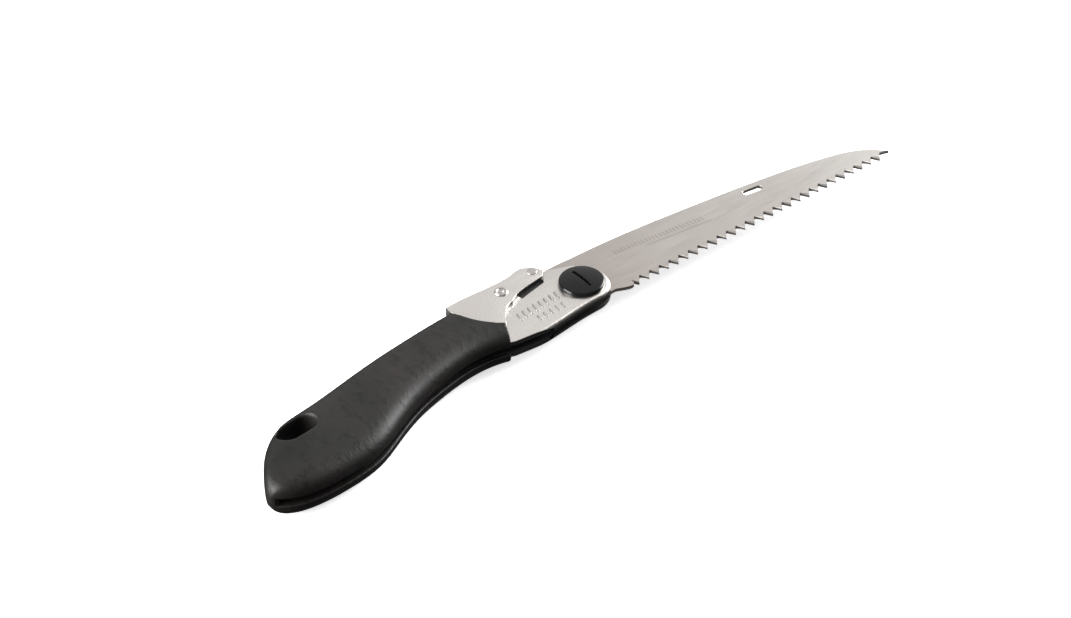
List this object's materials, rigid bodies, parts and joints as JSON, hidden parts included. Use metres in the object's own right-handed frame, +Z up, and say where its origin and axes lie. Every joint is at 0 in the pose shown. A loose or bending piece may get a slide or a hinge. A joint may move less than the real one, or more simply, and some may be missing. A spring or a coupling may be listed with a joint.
{
  "type": "folding pruning saw",
  "caption": "Folding pruning saw, open: steel blade on a pivot bolt between pressed steel sides, sprung lock lever, and a curved black rubber grip with a lanyard hole.",
  "frame": {"origin": "middle of the open saw's footprint, on the surface that it lies on", "axes": "+X towards the blade's tip, +Y towards the blade's back, +Z up, through the saw's thickness"},
  "size_m": [0.293, 0.0485, 0.0176],
  "materials": {
    "blade_steel": "satin brushed saw steel with ground teeth",
    "frame_steel": "satin nickel-plated pressed steel",
    "lever_steel": "satin nickel-plated pressed steel",
    "pin_steel": "plain turned steel",
    "spring_steel": "drawn spring wire",
    "black_bolt": "glossy black coated steel",
    "bushing_brass": "turned brass",
    "washer_nylon": "natural nylon",
    "liner_nylon": "black nylon",
    "grip_rubber": "black satin rubber with a fine grain"
  },
  "bodies": {
    "frame": {"side_plate_left": "frame_steel", "side_plate_right": "frame_steel", "channel_liner_left": "liner_nylon", "channel_liner_right": "liner_nylon", "spine_spacer": "liner_nylon", "frame_rivet_front": "pin_steel", "frame_rivet_middle": "pin_steel", "frame_rivet_rear": "pin_steel", "pivot_bolt": "black_bolt", "pivot_nut": "black_bolt", "pivot_bushing": "bushing_brass", "spring_washer": "spring_steel", "thrust_washer_left": "washer_nylon", "thrust_washer_right": "washer_nylon", "lever_rivet": "pin_steel", "lever_sleeve": "pin_steel", "lever_spring": "spring_steel", "rubber_grip": "grip_rubber"},
    "blade": {"blade": "blade_steel"},
    "lever": {"lock_lever": "lever_steel", "lock_pin": "pin_steel"}
  },
  "joints": [
    {"name": "blade_fold", "type": "hinge", "parent": "frame", "child": "blade", "pos_m": [0.00585, 0.00485, 0.0088], "axis": [0, 0, 1], "range_deg": [-170.5, 0]},
    {"name": "lever_press", "type": "hinge", "parent": "frame", "child": "lever", "pos_m": [-0.02045, 0.01775, 0.0088], "axis": [0, 0, 1], "range_deg": [0, 7], "stiffness_Nm_per_rad": 0.6, "springref_deg": -20.05, "deforming": ["lever_spring"]}
  ]
}
